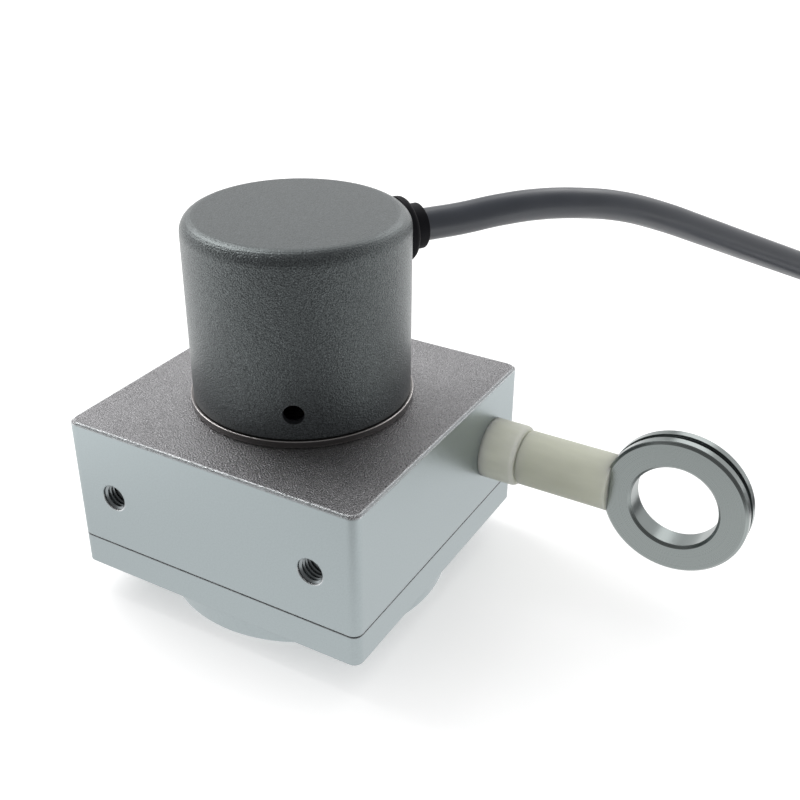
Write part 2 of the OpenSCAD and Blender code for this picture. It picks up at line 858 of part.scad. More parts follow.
module spring_arbor() {
    low = barrel_floor + spring_clearance;
    height = z_plate - low - spring_clearance;
    hook = 1.2;
    color("#8B9195")
        difference() {
            translate([0, 0, low])
                ring(shaft_diameter / 2 + joint, arbor_diameter / 2, height, fn_mid);
            translate([arbor_diameter / 2 - hook, -hook / 2, low - cut])
                cube([hook + cut, hook, height + 2 * cut]);
        }
}

module wire_drum() {
    hub = drum_hub_diameter / 2;
    rim = core_radius - drum_rim;
    web_low = z_wire - drum_web / 2;
    web_high = z_wire + drum_web / 2;
    seat = inner_ring_radius;
    bore = shaft_diameter / 2 + joint;
    profile = [
        [bore, z_boss_top], [seat, z_boss_top], [seat, z_boss_top + running],
        [hub, z_boss_top + running], [hub, web_low], [rim, web_low], [rim, drum_low],
        [drum_radius, drum_low], [drum_radius, drum_low + drum_flange_thickness],
        [core_radius, drum_low + drum_flange_thickness],
        [core_radius, drum_high - drum_flange_thickness],
        [drum_radius, drum_high - drum_flange_thickness], [drum_radius, drum_high],
        [rim, drum_high], [rim, web_high], [hub, web_high], [hub, z_roof - running],
        [seat, z_roof - running], [seat, z_roof], [bore, z_roof],
    ];
    color("#C2A35B")
        difference() {
            rotate_extrude($fn = fn_large)
                polygon(profile);
            for (i = [0:web_holes - 1])
                rotate(360 * i / web_holes)
                    translate([web_circle, 0, web_low - cut])
                        cylinder(drum_web + 2 * cut, d = web_hole_diameter, $fn = fn_small);
        }
}

// the wraps of wire on the drum, one ridge for each wrap
module wound_wire() {
    low = z_wire - winding_width / 2;
    inner = core_radius + joint;
    ridge = wire_diameter - joint;
    valley = wire_diameter * 0.6;
    profile = concat([[inner, low]],
        [for (i = [0:wraps - 1]) each [
            [inner + valley, low + wrap_pitch * i + joint],
            [inner + ridge, low + wrap_pitch * (i + 0.35)],
            [inner + ridge, low + wrap_pitch * (i + 0.65)],
        ]],
        [[inner + valley, low + winding_width], [inner, low + winding_width]]);
    color("#8C9196")
        rotate_extrude($fn = fn_mid)
            polygon(profile);
}

module shaft_clip() {
    color("#50555A")
        translate([0, 0, z_roof + bearing_width])
            difference() {
                cylinder(clip_width, r = clip_radius, $fn = fn_mid);
                translate([0, 0, -cut])
                    cylinder(clip_width + 2 * cut, r = shaft_diameter / 2 + joint, $fn = fn_mid);
                translate([0, -clip_land * 5, -cut])
                    cube([clip_radius + cut, clip_land * 10, clip_width + 2 * cut]);
            }
}

module code_hub() {
    color("#C9A24B")
        difference() {
            translate([0, 0, z_hub])
                ring(encoder_shaft_diameter / 2 + joint, hub_diameter / 2, hub_length, fn_mid);
            rotate(access_angle)
                along_x(0, 0, z_set_screw)
                    cylinder(hub_diameter, d = set_screw_diameter, $fn = fn_small);
        }
}

module hub_set_screw() {
    start = encoder_shaft_diameter / 2 + fit;
    length = hub_diameter / 2 - start - fit;
    socket_width = set_screw_diameter / 2;
    color("#3B3E42")
        rotate(access_angle)
            along_x(start, 0, z_set_screw)
                difference() {
                    cylinder(length, r = set_screw_diameter / 2 - joint, $fn = fn_small);
                    translate([0, 0, length / 2])
                        cylinder(length, d = socket_width, $fn = 6);
                }
}

module code_disc() {
    color("#D9E2E6")
        translate([0, 0, z_disc])
            ring(encoder_shaft_diameter / 2 + joint, disc_diameter / 2, disc_thickness, fn_large);
}

module disc_washer_ring() {
    color("#8E9498")
        translate([0, 0, z_washer])
            ring(encoder_shaft_diameter / 2 + joint, disc_washer_diameter / 2, disc_washer,
                 fn_mid);
}

module draw_wire() {
    color("#9AA0A4")
        along_wire(wire_start)
            cylinder(x_ferrule - wire_start, d = wire_diameter, $fn = 12);
}

module wire_ferrule() {
    radius = ferrule_diameter / 2;
    chamfer = 0.4;
    color("#B0895A")
        along_wire(x_ferrule)
            rotate_extrude($fn = fn_small)
                polygon([
                    [0, 0], [radius - chamfer, 0], [radius, chamfer],
                    [radius, ferrule_length], [neck_diameter / 2, ferrule_length],
                    [neck_diameter / 2, ferrule_length + neck_length],
                    [radius, ferrule_length + neck_length],
                    [radius, ferrule_length + neck_length + head_length],
                    [0, ferrule_length + neck_length + head_length],
                ]);
}

// sleeve that lands on the collar; its outer end is a saddle for the ring's rim
module bumper_sleeve() {
    edge = 0.5;
    chamber = swivel_radius + fit;
    profile = [
        [wire_diameter / 2 + running, 0], [bumper_radius - edge, 0], [bumper_radius, edge],
        [bumper_radius, bumper_length], [chamber, bumper_length], [chamber, bumper_end_wall],
        [wire_diameter / 2 + running, bumper_end_wall],
    ];
    color("#9D9F8E")
        difference() {
            along_wire(x_bumper)
                rotate_extrude($fn = fn_mid)
                    polygon(profile);
            translate([x_ring, wrap_radius + ring_width / 2 + fit, z_wire])
                rotate([90, 0, 0])
                    cylinder(ring_width + 2 * fit, r = ring_seat_radius, $fn = fn_large);
        }
}

// turns freely on the ferrule's head and is crimped to the loop round the ring
module swivel_barrel() {
    end_wall = 2;
    inside = x_swivel_end - x_swivel;
    color("#A8ACAE")
        along_wire(x_swivel)
            difference() {
                cylinder(inside + end_wall, r = swivel_radius, $fn = fn_small);
                translate([0, 0, -cut])
                    cylinder(swivel_lip + 2 * cut, r = neck_diameter / 2 + running,
                             $fn = fn_small);
                translate([0, 0, swivel_lip])
                    cylinder(inside - swivel_lip, r = swivel_bore, $fn = fn_small);
                translate([0, 0, inside])
                    cylinder(end_wall + cut, r = wire_diameter + joint, $fn = fn_small);
            }
}

// wire loop in the ring's groove, with its doubled end in the swivel barrel
module eye_loop() {
    color("#8C9196")
        union() {
            translate([x_ring, wrap_radius, z_wire])
                rotate([90, 0, 0])
                    rotate_extrude($fn = fn_mid)
                        translate([loop_radius, 0])
                            circle(wire_diameter / 2, $fn = 8);
            along_wire(x_swivel_end + joint)
                cylinder(x_loop - x_swivel_end - joint, r = wire_diameter * 0.8, $fn = 12);
        }
}

module pull_ring() {
    half = ring_width / 2;
    eye = eye_diameter / 2;
    color("#909696")
        translate([x_ring, wrap_radius, z_wire])
            rotate([90, 0, 0])
                rotate_extrude($fn = fn_large)
                    polygon([
                        [eye, eye_chamfer - half], [eye + eye_chamfer, -half],
                        [ring_radius - ring_chamfer, -half], [ring_radius, ring_chamfer - half],
                        [ring_radius, -groove_width / 2], [groove_radius, -groove_width / 2],
                        [groove_radius, groove_width / 2], [ring_radius, groove_width / 2],
                        [ring_radius, half - ring_chamfer], [ring_radius - ring_chamfer, half],
                        [eye + eye_chamfer, half], [eye, half - eye_chamfer],
                    ]);
}

module cable() {
    lead_in = [for (r = [cable_start, (cable_start + grommet_end) / 2, grommet_end])
        polar(r, outlet_angle, z_outlet)];
    color("#5A6067")
        tube_along(smooth(concat(lead_in, cable_route), 2), cable_radius, 10);
}

module cable_coil() {
    inner = coil_inner_turn - cable_radius;
    outer = coil_outer_turn + cable_radius;
    round = cable_radius;
    color("#565C63")
        translate([coil_centre[0], coil_centre[1], 0])
            rotate_extrude($fn = fn_mid)
                polygon(concat(
                    arc([inner + round, round], round, 180, 270, 4),
                    arc([outer - round, round], round, 270, 360, 4),
                    arc([outer - round, coil_height - round], round, 0, 90, 4),
                    arc([inner + round, coil_height - round], round, 90, 180, 4)));
}

module cable_tail() {
    color("#5A6067")
        tube_along(smooth(tail_route, 2), cable_radius, 10);
}

module at_tail_end() {
    last = len(tail_route) - 1;
    ahead = unit(tail_route[last] - tail_route[last - 1]);
    translate(tail_route[last])
        rotate([0, acos(ahead[2]), atan2(ahead[1], ahead[0])])
            children();
}

module cable_sleeve() {
    color("#1B1B20")
        at_tail_end()
            translate([0, 0, -sleeve_length / 2])
                ring(cable_radius + fit, cable_radius + fit + sleeve_wall, sleeve_length,
                     fn_small);
}

module lead_wires() {
    last = len(tail_route) - 1;
    ahead = unit(tail_route[last] - tail_route[last - 1]);
    side = unit(cross(ahead, [0, 0, 1]));
    core = lead_diameter / 2;
    start = tail_route[last];
    color("#B23A2E")
        for (i = [0:len(lead_fan) - 1])
            let (slot = (i - (len(lead_fan) - 1) / 2) * (lead_diameter + 0.1),
                 fan = tan(lead_fan[i]))
                tube_along(smooth([for (p = lead_steps)
                    start + p[0] * ahead + (slot + p[1] * fan) * side - [0, 0, p[2]]
                ], 3), core, 6);
}

main_housing();
bottom_cover();
cover_screws();
spring_plate();
power_spring();
lower_bearing_outer();
upper_bearing_outer();
wire_collar();
guide_bush();
wire_wiper();
encoder_base();
base_screws();
encoder_can();
cable_grommet();
cable_clamp();
board_posts();
sensor_board();
board_screws();
read_head();
board_connector();
inner_leads();
drum_shaft();
spring_arbor();
wire_drum();
wound_wire();
lower_bearing_inner();
upper_bearing_inner();
shaft_clip();
code_hub();
code_disc();
disc_washer_ring();
hub_set_screw();
draw_wire();
wire_ferrule();
bumper_sleeve();
swivel_barrel();
eye_loop();
pull_ring();
cable();
cable_coil();
cable_tail();
cable_sleeve();
lead_wires();
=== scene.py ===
import json
import math

import bpy
from mathutils import Matrix, Vector


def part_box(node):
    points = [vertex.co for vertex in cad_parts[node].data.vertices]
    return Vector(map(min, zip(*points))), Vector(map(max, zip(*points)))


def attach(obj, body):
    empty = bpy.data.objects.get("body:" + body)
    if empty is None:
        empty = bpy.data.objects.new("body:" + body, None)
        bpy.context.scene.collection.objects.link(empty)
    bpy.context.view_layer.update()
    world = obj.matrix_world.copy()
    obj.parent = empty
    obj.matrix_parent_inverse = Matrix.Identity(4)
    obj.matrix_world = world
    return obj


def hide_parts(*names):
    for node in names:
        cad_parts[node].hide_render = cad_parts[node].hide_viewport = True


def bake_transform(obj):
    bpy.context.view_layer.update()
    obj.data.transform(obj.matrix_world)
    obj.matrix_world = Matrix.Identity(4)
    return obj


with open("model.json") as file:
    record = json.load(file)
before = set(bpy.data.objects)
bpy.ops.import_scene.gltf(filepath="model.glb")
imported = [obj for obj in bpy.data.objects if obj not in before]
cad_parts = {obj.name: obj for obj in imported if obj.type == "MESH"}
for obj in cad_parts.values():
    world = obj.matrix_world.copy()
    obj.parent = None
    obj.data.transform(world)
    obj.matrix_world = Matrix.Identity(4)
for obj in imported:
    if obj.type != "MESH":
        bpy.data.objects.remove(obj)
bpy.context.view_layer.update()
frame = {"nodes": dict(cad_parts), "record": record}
bpy.ops.object.select_all(action="DESELECT")


# ---------------------------------------------------------------- places

# The cable's route: through the grommet, down to the floor and round to the coil
CABLE_ROUTE = [
    (0.00675, 0.01169, 0.0649), (0.00948, 0.01641, 0.0649), (0.0122, 0.02113, 0.0649),
    (0.017, 0.0282, 0.0649), (0.022, 0.0352, 0.0654), (0.027, 0.0426, 0.0652),
    (0.0324, 0.0502, 0.0641), (0.0378, 0.0582, 0.062), (0.0436, 0.0667, 0.0584),
    (0.05, 0.076, 0.0536), (0.0566, 0.0854, 0.0486), (0.0632, 0.0944, 0.0438),
    (0.0685, 0.1015, 0.04), (0.075, 0.11, 0.0355), (0.083, 0.1188, 0.0311),
    (0.093, 0.1258, 0.027), (0.104, 0.13, 0.0236), (0.116, 0.1313, 0.0206),
    (0.1275, 0.1291, 0.0176), (0.138, 0.1234, 0.0148), (0.146, 0.1149, 0.0124),
    (0.1508, 0.1044, 0.0103), (0.152, 0.093, 0.009),
]
# Where the cable runs off the coil to its open end
CABLE_TAIL = [(0.152, 0.085, 0.0033), (0.152, 0.073, 0.0037), (0.151, 0.061, 0.0037)]
CABLE_DIAMETER = 0.006

# The coil: radii of its line, heights of its two layers, and the share of a turn in which
# the cable drops from one to the other
COIL_CENTRE = (0.116, 0.095)
COIL_OUTER = 0.036
COIL_INNER = 0.024
COIL_TURNS = 4
COIL_STEPS = 16
COIL_LAYERS = (0.009, 0.003)
COIL_DROP = 0.35

wire_low, wire_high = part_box("draw_wire")
WIRE_Y = (wire_low.y + wire_high.y) / 2
WIRE_Z = (wire_low.z + wire_high.z) / 2
WIRE_DIAMETER = wire_high.z - wire_low.z

HALF_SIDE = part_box("main_housing")[1].x
COLLAR_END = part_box("wire_collar")[1].x
BUMPER_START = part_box("bumper_sleeve")[0].x
BUMPER_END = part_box("bumper_sleeve")[1].x

ring_low, ring_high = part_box("pull_ring")
RING_CENTRE = (ring_low + ring_high) / 2

hole_mount = next(mount for mount in frame["record"]["mounts"]
                  if mount["name"] == "mounting_holes")
HOLE_SPACING = hole_mount["dims"]["spacing_x_mm"] / 1000
HOLE_HEIGHT = hole_mount["pos_m"][2]
HOLE_RADIUS = hole_mount["dims"]["hole_r_mm"] / 1000
THREAD_PITCH = 0.0008
THREAD_DEPTH = 0.0004
THREAD_TURNS = 9
THREAD_STEPS = 28

# Where the cable's jacket ends, the way it points there, and its five cores
TAIL_END = Vector(CABLE_TAIL[-1])
TAIL_AHEAD = (TAIL_END - Vector(CABLE_TAIL[-2])).normalized()
LEAD_RADIUS = 0.0005
BARE_SHARE = 0.62
LEAD_FAN = (-10, -5, 0, 5, 10)
# How far ahead of the jacket's end, out along the fan and down each knot of a core lies
LEAD_STEPS = [(0.0001, 0, 0), (0.002, 0, 0), (0.009, 0, 0.0008), (0.018, 0.005, 0.0022),
              (0.025, 0.010, 0.0027), (0.030, 0.014, 0.0031)]
LEAD_COLOURS = {
    "red": (170, 34, 30), "white": (222, 220, 212), "green": (36, 112, 62),
    "yellow": (206, 172, 40), "brown": (92, 60, 40),
}


# ---------------------------------------------------------------- modelling helpers

def select_only(piece):
    """Makes one object the selected and active one."""
    bpy.ops.object.select_all(action="DESELECT")
    piece.select_set(True)
    bpy.context.view_layer.objects.active = piece


def named(name):
    """Names the active object and its mesh."""
    piece = bpy.context.object
    piece.name = name
    piece.data.name = name
    return piece


def settle(piece):
    """Puts the object's place into its mesh, so the object itself stands at the origin."""
    select_only(piece)
    bpy.ops.object.transform_apply(location=True, rotation=True, scale=True)
    piece.select_set(False)
    return piece


def clean_up(piece, angle=30):
    """Merges doubles, turns the faces outwards and smooths all but the sharp edges."""
    select_only(piece)
    bpy.ops.object.mode_set(mode="EDIT")
    bpy.ops.mesh.select_all(action="SELECT")
    bpy.ops.mesh.remove_doubles(threshold=0.000002)
    bpy.ops.mesh.normals_make_consistent(inside=False)
    bpy.ops.mesh.select_all(action="DESELECT")
    bpy.ops.object.mode_set(mode="OBJECT")
    bpy.ops.object.shade_smooth_by_angle(angle=math.radians(angle))
    return piece


def apply_modifiers(piece):
    """Turns what the modifiers show into the mesh itself."""
    select_only(piece)
    for modifier in list(piece.modifiers):
        bpy.ops.object.modifier_apply(modifier=modifier.name)
    return piece


def dress(piece, *materials):
    """Gives the piece these materials and no others."""
    piece.data.materials.clear()
    for material in materials:
        piece.data.materials.append(material)
    return piece


def curve_through(name, points, radius, resolution=4, roundness=5):
    """One smooth round strand through the points."""
    data = bpy.data.curves.new(name, "CURVE")
    data.dimensions = "3D"
    data.bevel_depth = radius
    data.bevel_resolution = roundness
    data.resolution_u = resolution
    data.use_fill_caps = True
    spline = data.splines.new("BEZIER")
    spline.bezier_points.add(len(points) - 1)
    for knot, place in zip(spline.bezier_points, points):
        knot.co = place
        knot.handle_left_type = "AUTO"
        knot.handle_right_type = "AUTO"
    strand = bpy.data.objects.new(name, data)
    bpy.context.scene.collection.objects.link(strand)
    return strand


# ---------------------------------------------------------------- finishes

class Finish:
    """A material under construction, with short ways to add its nodes."""

    def __init__(self, name, colour, metallic=0.0, roughness=0.5):
        self.material = bpy.data.materials.new(name)
        self.material.use_nodes = True
        self.tree = self.material.node_tree
        self.shader = self.tree.nodes["Principled BSDF"]
        self.set(**{"Base Color": (*colour, 1), "Metallic": metallic, "Roughness": roughness})
        self.coordinates = self.add("ShaderNodeTexCoord")
        self.place = self.coordinates.outputs["Object"]

    def set(self, **values):
        """Types values into the shader's own sockets."""
        for socket, value in values.items():
            self.shader.inputs[socket].default_value = value

    def add(self, kind, **values):
        """A new node of this kind, with its settings."""
        node = self.tree.nodes.new(kind)
        for name, value in values.items():
            setattr(node, name, value)
        return node

    def join(self, source, target):
        self.tree.links.new(source, target)

    def noise(self, size, detail=3.0, stretch=None):
        """Noise whose blotches are about size metres wide, drawn out along an axis by stretch."""
        place = self.place
        if stretch:
            mapping = self.add("ShaderNodeMapping")
            mapping.inputs["Scale"].default_value = stretch
            self.join(place, mapping.inputs["Vector"])
            place = mapping.outputs["Vector"]
        node = self.add("ShaderNodeTexNoise")
        node.inputs["Scale"].default_value = 1 / size
        node.inputs["Detail"].default_value = detail
        self.join(place, node.inputs["Vector"])
        return node.outputs["Fac"]

    def ramp(self, source, low, high, start=0.35, end=0.65):
        """A colour that runs from low to high as the source does."""
        node = self.add("ShaderNodeValToRGB")
        node.color_ramp.elements[0].position = start
        node.color_ramp.elements[1].position = end
        node.color_ramp.elements[0].color = (*low, 1)
        node.color_ramp.elements[1].color = (*high, 1)
        self.join(source, node.inputs["Fac"])
        return node.outputs["Color"]

    def spread(self, source, low, high, start=0.3, end=0.7):
        """A number that runs from low to high as the source does."""
        node = self.add("ShaderNodeMapRange")
        for socket, value in zip(("From Min", "From Max", "To Min", "To Max"),
                                 (start, end, low, high)):
            node.inputs[socket].default_value = value
        self.join(source, node.inputs["Value"])
        return node.outputs["Result"]

    def raise_by(self, source, depth, strength=1.0, under=None):
        """Relief of the given depth in metres, over another relief if one is given."""
        node = self.add("ShaderNodeBump")
        node.inputs["Distance"].default_value = depth
        node.inputs["Strength"].default_value = strength
        self.join(source, node.inputs["Height"])
        if under:
            self.join(under, node.inputs["Normal"])
        return node.outputs["Normal"]

    def upwards(self, normal=None, start=0.6, end=0.8):
        """1 on faces that look up, 0 on all others."""
        parts = self.add("ShaderNodeSeparateXYZ")
        self.join(normal or self.coordinates.outputs["Normal"], parts.inputs["Vector"])
        return self.spread(parts.outputs["Z"], 0, 1, start, end)

    def blend(self, share, first, second, kind="RGBA"):
        """The first where share is 0 and the second where it is 1."""
        node = self.add("ShaderNodeMix", data_type=kind)
        ends = {"RGBA": (6, 7, 2), "FLOAT": (2, 3, 0)}[kind]
        self.join(share, node.inputs["Factor"])
        self.join(first, node.inputs[ends[0]])
        self.join(second, node.inputs[ends[1]])
        return node.outputs[ends[2]]

    def times(self, first, second):
        """The product of two numbers, each typed or taken from a node."""
        node = self.add("ShaderNodeMath", operation="MULTIPLY")
        for socket, value in zip(node.inputs, (first, second)):
            if isinstance(value, (int, float)):
                socket.default_value = value
            else:
                self.join(value, socket)
        return node.outputs["Value"]

    def eased_edges(self, radius):
        """Edges that look broken by hand: the shading turns over the edge."""
        node = self.add("ShaderNodeBevel", samples=6)
        node.inputs["Radius"].default_value = radius
        return node.outputs["Normal"]

    def edge_share(self, eased):
        """1 on an eased edge, where the shading turns away from the face, and 0 elsewhere."""
        face = self.add("ShaderNodeNewGeometry")
        turn = self.add("ShaderNodeVectorMath", operation="DOT_PRODUCT")
        self.join(face.outputs["Normal"], turn.inputs[0])
        self.join(eased, turn.inputs[1])
        return self.spread(turn.outputs["Value"], 1, 0, 0.95, 0.995)

    def turning_marks(self, centre, width, along=(1, 0, 1)):
        """Fine rings round an axis through the centre, as a lathe tool leaves them."""
        mapping = self.add("ShaderNodeMapping")
        mapping.inputs["Location"].default_value = [-at * on for at, on in zip(centre, along)]
        mapping.inputs["Scale"].default_value = along
        length = self.add("ShaderNodeVectorMath", operation="LENGTH")
        node = self.add("ShaderNodeTexNoise", noise_dimensions="1D")
        node.inputs["Scale"].default_value = 1 / width
        node.inputs["Detail"].default_value = 3
        self.join(self.place, mapping.inputs["Vector"])
        self.join(mapping.outputs["Vector"], length.inputs[0])
        self.join(length.outputs["Value"], node.inputs["W"])
        return node.outputs["Fac"]

    def colour(self, source):
        self.join(source, self.shader.inputs["Base Color"])

    def roughness(self, source):
        self.join(source, self.shader.inputs["Roughness"])

    def relief(self, source):
        self.join(source, self.shader.inputs["Normal"])


def srgb(red, green, blue):
    """A colour written as 0-255 values, as the linear one that the shader takes."""
    return tuple(
        value / 3294.6 if value <= 10 else ((value / 255 + 0.055) / 1.055) ** 2.4
        for value in (red, green, blue))


def shade(colour, factor):
    """The colour made lighter or darker."""
    return tuple(min(1.0, channel * factor) for channel in colour)


def grained(name, colour, metallic=0.0, roughness=0.5, grain=0.0003, vary=0.06,
            depth=0.00001, play=0.06):
    """An even finish with fine grain in its colour, gloss and surface."""
    made = Finish(name, colour, metallic, roughness)
    fine = made.noise(grain)
    broad = made.noise(grain * 30, detail=2)
    made.colour(made.ramp(fine, shade(colour, 1 - vary), shade(colour, 1 + vary)))
    made.roughness(made.spread(broad, roughness - play, roughness + play))
    made.relief(made.raise_by(fine, depth))
    return made


def blasted_aluminium(name, painted_edge_highlight=0):
    """Clear anodised aluminium: fine satin sides; a coarser sparkling grain on top, coloured
    darker as painted shade; and a painted highlight on the upper edges where the second argument
    is 1."""
    # Painted shade: the top is coloured darker and greyer than the sides; its sparkle grain is
    # real
    side = srgb(165, 174, 176)
    top = srgb(145, 144, 146)
    bright = srgb(236, 238, 240)
    made = Finish(name, side, metallic=0.95, roughness=0.36)
    upwards = made.upwards()
    satin = made.noise(0.0003, detail=3)
    sparkle = made.noise(0.0002, detail=2)
    broad = made.noise(0.014, detail=2)
    eased = made.eased_edges(0.0005 if painted_edge_highlight else 0.0003)
    # The upper eased edges, weighted by the second argument: where the painted highlight goes
    edges = made.times(made.edge_share(eased), made.times(made.upwards(eased, 0, 0.2), painted_edge_highlight))
    faces = made.blend(
        upwards,
        made.ramp(satin, shade(side, 0.96), shade(side, 1.04)),
        made.ramp(sparkle, shade(top, 0.8), shade(top, 1.2), 0.35, 0.65))
    # Painted highlight: those edges are coloured near white, as a lamp's glint on them
    made.colour(made.blend(edges, faces, made.ramp(sparkle, shade(bright, 0.6), bright)))
    flat = made.blend(upwards, made.spread(satin, 0.34, 0.38),
                      made.spread(satin, 0.26, 0.3), "FLOAT")
    made.roughness(made.blend(edges, flat, made.spread(satin, 0.13, 0.15), "FLOAT"))
    grain = made.times(made.blend(upwards, made.times(satin, 0.03), satin, "FLOAT"),
                       made.spread(broad, 0.9, 1.1))
    made.relief(made.raise_by(grain, 0.0003, 1.0, under=eased))
    return made.material


def encoder_paint():
    """Dark grey powder coat, grainy on the side and finer on the top."""
    colour = srgb(33, 34, 37)
    made = Finish("encoder_paint", colour, roughness=0.34)
    upwards = made.upwards()
    peel = made.noise(0.00028, detail=2)
    speck = made.noise(0.0002, detail=2)
    made.colour(made.ramp(speck, shade(colour, 0.5), shade(colour, 1.6)))
    made.join(made.blend(upwards, made.spread(speck, 0.27, 0.73, 0.35, 0.65),
                         made.spread(speck, 0.4, 0.6, 0.35, 0.65), "FLOAT"),
              made.shader.inputs["Specular IOR Level"])
    made.roughness(made.spread(peel, 0.3, 0.38))
    coarse = made.blend(upwards, peel, made.times(peel, 0.4), "FLOAT")
    made.relief(made.raise_by(coarse, 0.00018, 1.0))
    made.set(**{"IOR": 2.0, "Specular Tint": (0.9, 1.0, 1.0, 1)})
    return made.material


def turned_metal(name, colour, roughness=0.25, stretch=(1, 1, 12), edge=0.00012):
    """Fine tool marks, drawn out round the piece, and eased edges with a painted highlight: a
    bright line.
    """
    made = Finish(name, colour, 1.0, roughness)
    marks = made.noise(0.0008, detail=4, stretch=stretch)
    eased = made.eased_edges(edge)
    edges = made.edge_share(eased)
    # Painted highlight: the eased edges are coloured three to four times lighter, to a bright
    # line
    made.colour(made.blend(edges, made.ramp(marks, shade(colour, 0.94), shade(colour, 1.05)),
                           made.ramp(marks, shade(colour, 3.2), shade(colour, 4))))
    made.roughness(made.spread(edges, roughness, 0.14, 0, 1))
    made.relief(made.raise_by(marks, 0.000004, under=eased))
    return made.material


def turned_ring():
    """Nickel plated ring, faced and bored on a lathe: fine rings round its axis."""
    colour = srgb(140, 146, 145)
    made = Finish("turned_ring", colour, metallic=1.0, roughness=0.3)
    marks = made.turning_marks(RING_CENTRE, 0.00018)
    bored = made.noise(0.0004, detail=3, stretch=(1, 0.05, 1))
    made.colour(made.ramp(marks, shade(colour, 0.95), shade(colour, 1.05)))
    made.roughness(made.spread(marks, 0.26, 0.34))
    made.relief(made.raise_by(bored, 0.000003, under=made.raise_by(
        marks, 0.000004, under=made.eased_edges(0.00012))))
    return made.material


def cream_plastic(name, colour):
    """Moulded polyamide: cream, slightly translucent, with faint flow marks."""
    made = Finish(name, colour, roughness=0.5)
    flow = made.noise(0.003, detail=3, stretch=(0.35, 1, 1))
    fine = made.noise(0.0002)
    made.colour(made.ramp(flow, shade(colour, 0.95), shade(colour, 1.04)))
    made.roughness(made.spread(flow, 0.44, 0.56))
    made.relief(made.raise_by(fine, 0.000008, under=made.eased_edges(0.0003)))
    made.set(**{"Subsurface Weight": 0.85, "Subsurface Scale": 0.009,
                "Subsurface Radius": (1.0, 1.0, 0.85), "Specular IOR Level": 0.35})
    return made.material


def stranded_steel(strands=6, lay=0.004):
    """Laid wire rope: the strands run round it at a slant, with painted shade as dark lines
    between them.
    """
    colour = srgb(150, 154, 158)
    made = Finish("stranded_steel", colour, metallic=1.0, roughness=0.32)
    parts = made.add("ShaderNodeSeparateXYZ")
    made.join(made.place, parts.inputs["Vector"])

    def maths(operation, first, second=None):
        node = made.add("ShaderNodeMath", operation=operation)
        for socket, value in zip(node.inputs, (first, second)):
            if isinstance(value, (int, float)):
                socket.default_value = value
            elif value is not None:
                made.join(value, socket)
        return node.outputs["Value"]

    round_wire = maths("ARCTAN2", maths("SUBTRACT", parts.outputs["Z"], WIRE_Z),
                       maths("SUBTRACT", parts.outputs["Y"], WIRE_Y))
    along_wire = maths("MULTIPLY", parts.outputs["X"], 2 * math.pi / lay)
    slant = maths("MULTIPLY", maths("ADD", round_wire, along_wire), strands)
    ridge = maths("ABSOLUTE", maths("SINE", maths("MULTIPLY", slant, 0.5)))
    # Painted shade: the grooves between the strands are coloured down to a third of the steel's
    # tone
    made.colour(made.ramp(ridge, shade(colour, 0.35), colour, 0.0, 0.5))
    made.relief(made.raise_by(ridge, 0.00008))
    return made.material


def cable_jacket():
    """Smooth grey PVC with the faint lengthwise waviness of the cores below."""
    colour = srgb(50, 54, 62)
    made = Finish("cable_jacket", colour, roughness=0.4)
    broad = made.noise(0.009, detail=2)
    fine = made.noise(0.0003)
    made.colour(made.ramp(broad, shade(colour, 0.92), shade(colour, 1.08)))
    made.roughness(made.spread(broad, 0.33, 0.44))
    made.relief(made.raise_by(fine, 0.000006, under=made.raise_by(broad, 0.00008, 0.4)))
    made.set(IOR=1.65)
    return made.material


def moulded_rubber():
    """Black moulded rubber with a dull skin."""
    made = grained("moulded_rubber", srgb(11, 11, 17), roughness=0.55)
    made.set(**{"Specular IOR Level": 0.15})
    return made.material


def thread_metal():
    """The housing's metal in its threads: cut bare and a little darker."""
    colour = srgb(150, 156, 158)
    made = Finish("thread_metal", colour, metallic=1.0, roughness=0.3)
    made.colour(made.ramp(made.noise(0.0002), shade(colour, 0.9), shade(colour, 1.05)))
    return made.material


def tinned_copper():
    """Bare core ends: fine tinned strands, twisted together."""
    colour = srgb(188, 190, 190)
    made = Finish("tinned_copper", colour, metallic=1.0, roughness=0.3)
    strands = made.noise(0.0002, detail=2, stretch=(1, 0.1, 1))
    made.colour(made.ramp(strands, shade(colour, 0.7), shade(colour, 1.05)))
    made.relief(made.raise_by(strands, 0.00002))
    return made.material


def felt():
    """Pressed wool felt: short matted fibres."""
    colour = srgb(96, 93, 88)
    made = Finish("felt", colour, roughness=0.95)
    fibre = made.noise(0.0002, detail=6, stretch=(1, 1, 0.4))
    made.colour(made.ramp(fibre, shade(colour, 0.6), shade(colour, 1.3)))
    made.relief(made.raise_by(fibre, 0.00008))
    made.set(**{"Sheen Weight": 0.4, "Sheen Roughness": 0.6})
    return made.material


def solder_resist():
    """Green lacquer over the copper tracks of the circuit board."""
    colour = srgb(38, 104, 70)
    made = Finish("solder_resist", colour, roughness=0.3)
    track = made.add("ShaderNodeTexBrick")
    track.inputs["Scale"].default_value = 260
    track.inputs["Mortar Size"].default_value = 0.012
    track.inputs["Color1"].default_value = (*colour, 1)
    track.inputs["Color2"].default_value = (*shade(colour, 0.9), 1)
    track.inputs["Mortar"].default_value = (*shade(colour, 1.6), 1)
    made.join(made.place, track.inputs["Vector"])
    made.colour(track.outputs["Color"])
    made.relief(made.raise_by(track.outputs["Fac"], 0.00003, 0.5))
    return made.material


